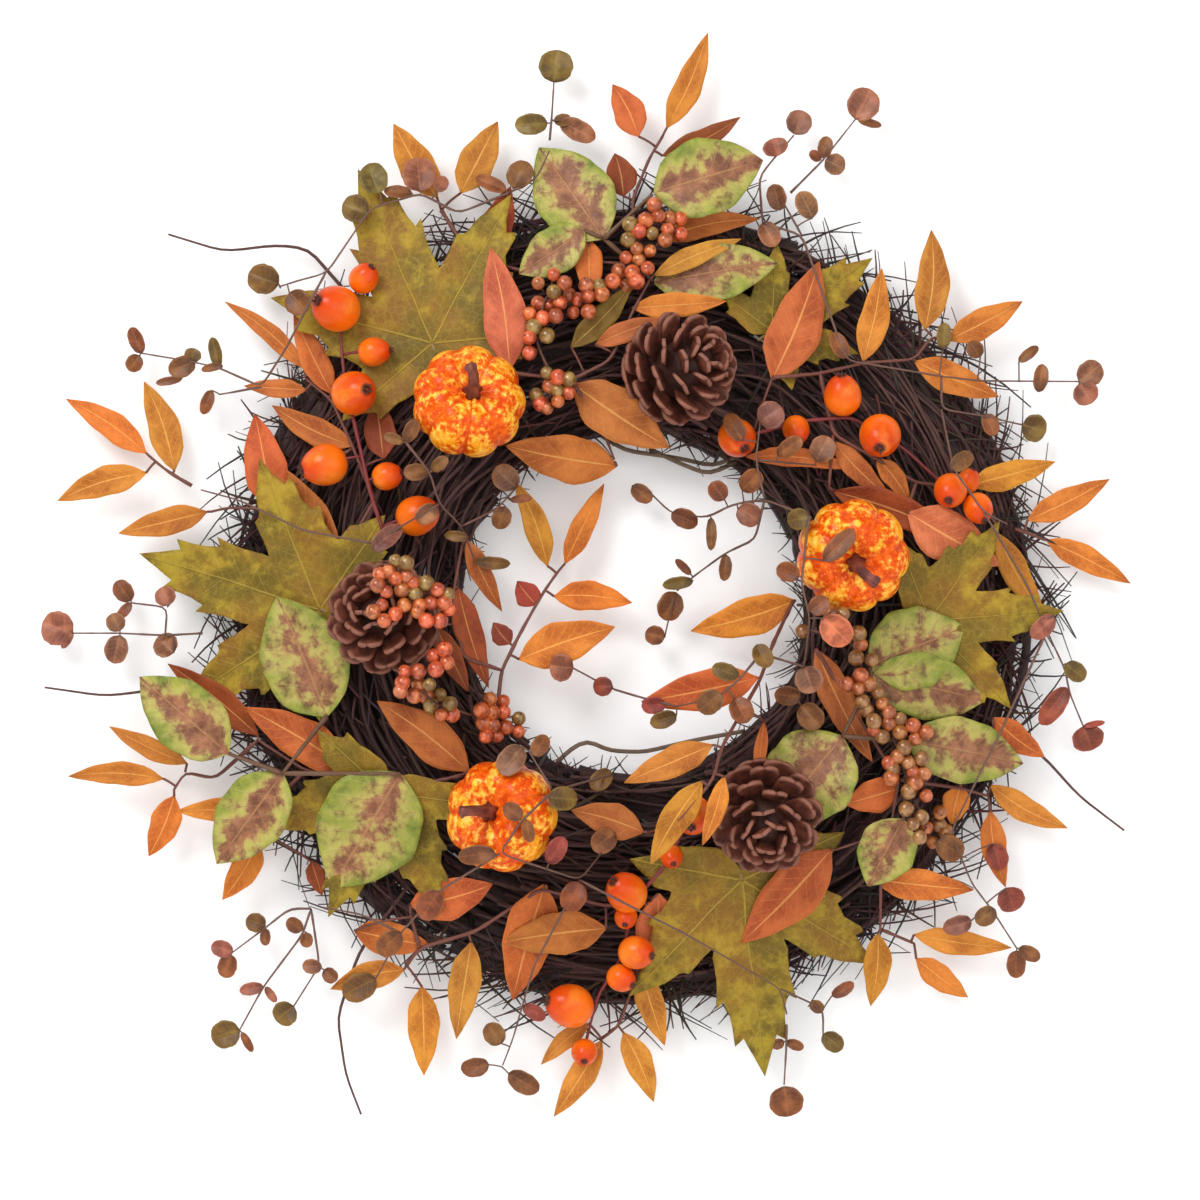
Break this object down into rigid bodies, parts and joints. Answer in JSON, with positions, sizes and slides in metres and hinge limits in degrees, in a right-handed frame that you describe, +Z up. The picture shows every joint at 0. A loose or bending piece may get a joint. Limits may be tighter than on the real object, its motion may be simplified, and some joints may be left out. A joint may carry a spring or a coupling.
{
  "type": "harvest door wreath",
  "caption": "Round autumn door wreath: a dark twig ring on a wire hoop dressed with artificial leaves, small pumpkins, pine cones, rose hips and berries.",
  "frame": {"origin": "the point of the twig ring's top inner edge, at the door plane, that rests on a door hook", "axes": "+X to the right seen from the front, -Y out of the door towards the viewer, +Z up; the ring's back is the plane y = 0"},
  "size_m": [0.502, 0.0958, 0.5],
  "materials": {
    "twig": "dark grapevine twigs",
    "wire": "dull dark wire",
    "laurel": "brown-orange cloth leaves",
    "gold_laurel": "golden cloth leaves",
    "magnolia": "olive and brown cloth leaves",
    "maple": "olive-gold cloth leaves",
    "coin": "thin brown plastic leaves",
    "pumpkin": "lacquered orange foam",
    "stalk": "maroon",
    "cone": "red-brown pine cone",
    "hip": "glossy orange-red",
    "berry": "pearly copper"
  },
  "bodies": {
    "wreath": {"berry_spray_left": "berry", "berry_spray_right": "berry", "berry_spray_top": "berry", "binding_wire_1": "wire", "binding_wire_2": "wire", "binding_wire_3": "wire", "binding_wire_4": "wire", "binding_wire_5": "wire", "binding_wire_6": "wire", "coin_spray_inner_left": "coin", "coin_spray_inner_right": "coin", "coin_spray_low": "coin", "coin_spray_right": "coin", "coin_spray_upper_left": "coin", "hip_spray_bottom": "hip", "hip_spray_left": "hip", "hip_spray_right": "hip", "laurel_spray_bottom": "laurel", "laurel_spray_hanging": "gold_laurel", "laurel_spray_inner_low": "laurel", "laurel_spray_inner_top": "laurel", "laurel_spray_left": "laurel", "laurel_spray_lower_left": "laurel", "laurel_spray_lower_right": "laurel", "laurel_spray_right": "laurel", "laurel_spray_top": "laurel", "magnolia_spray_left": "magnolia", "magnolia_spray_right": "magnolia", "magnolia_spray_top": "magnolia", "maple_leaf_1": "maple", "maple_leaf_2": "maple", "maple_leaf_3": "maple", "maple_leaf_4": "maple", "maple_leaf_5": "maple", "maple_leaf_6": "maple", "pinecone_1": "cone", "pinecone_2": "cone", "pinecone_3": "cone", "pumpkin_1": "pumpkin", "pumpkin_2": "pumpkin", "pumpkin_3": "pumpkin", "pumpkin_stem_1": "stalk", "pumpkin_stem_2": "stalk", "pumpkin_stem_3": "stalk", "twig_bundle_1": "twig", "twig_bundle_2": "twig", "twig_bundle_3": "twig", "twig_bundle_4": "twig", "twig_bundle_5": "twig", "twig_bundle_6": "twig", "wire_hoop": "wire"},
    "gold_spray_left": {"gold_spray_left": "gold_laurel"},
    "gold_spray_right": {"gold_spray_right": "gold_laurel"},
    "coin_spray_top": {"coin_spray_top": "coin"},
    "coin_spray_top_right": {"coin_spray_top_right": "coin"},
    "coin_spray_bottom": {"coin_spray_bottom": "coin"},
    "coin_spray_left": {"coin_spray_left": "coin"},
    "coin_spray_lower_left": {"coin_spray_lower_left": "coin"}
  },
  "joints": [
    {"name": "gold_spray_left_bend", "type": "hinge", "parent": "wreath", "child": "gold_spray_left", "pos_m": [-0.203, -0.01131, -0.025], "axis": [0.5735, 0, 0.8192], "range_deg": [-5, 40]},
    {"name": "gold_spray_right_bend", "type": "hinge", "parent": "wreath", "child": "gold_spray_right", "pos_m": [0.176, -0.01978, -0.045], "axis": [-0.3363, 0, -0.9417], "range_deg": [-5, 40]},
    {"name": "coin_spray_top_bend", "type": "hinge", "parent": "wreath", "child": "coin_spray_top", "pos_m": [-0.038, -0.0149, 0.134], "axis": [0.9975, 0, -0.0712], "range_deg": [-5, 40]},
    {"name": "coin_spray_top_right_bend", "type": "hinge", "parent": "wreath", "child": "coin_spray_top_right", "pos_m": [0.073, -0.0107, 0.11], "axis": [0.7498, 0, -0.6616], "range_deg": [-5, 40]},
    {"name": "coin_spray_bottom_bend", "type": "hinge", "parent": "wreath", "child": "coin_spray_bottom", "pos_m": [0.071, -0.01885, -0.273], "axis": [-0.9994, 0, 0.0345], "range_deg": [-5, 40]},
    {"name": "coin_spray_left_bend", "type": "hinge", "parent": "wreath", "child": "coin_spray_left", "pos_m": [-0.198, -0.0107, -0.093], "axis": [0, 0, 1], "range_deg": [-5, 40]},
    {"name": "coin_spray_lower_left_bend", "type": "hinge", "parent": "wreath", "child": "coin_spray_lower_left", "pos_m": [-0.148, -0.0107, -0.22], "axis": [-0.4856, 0, 0.8742], "range_deg": [-5, 40]}
  ]
}
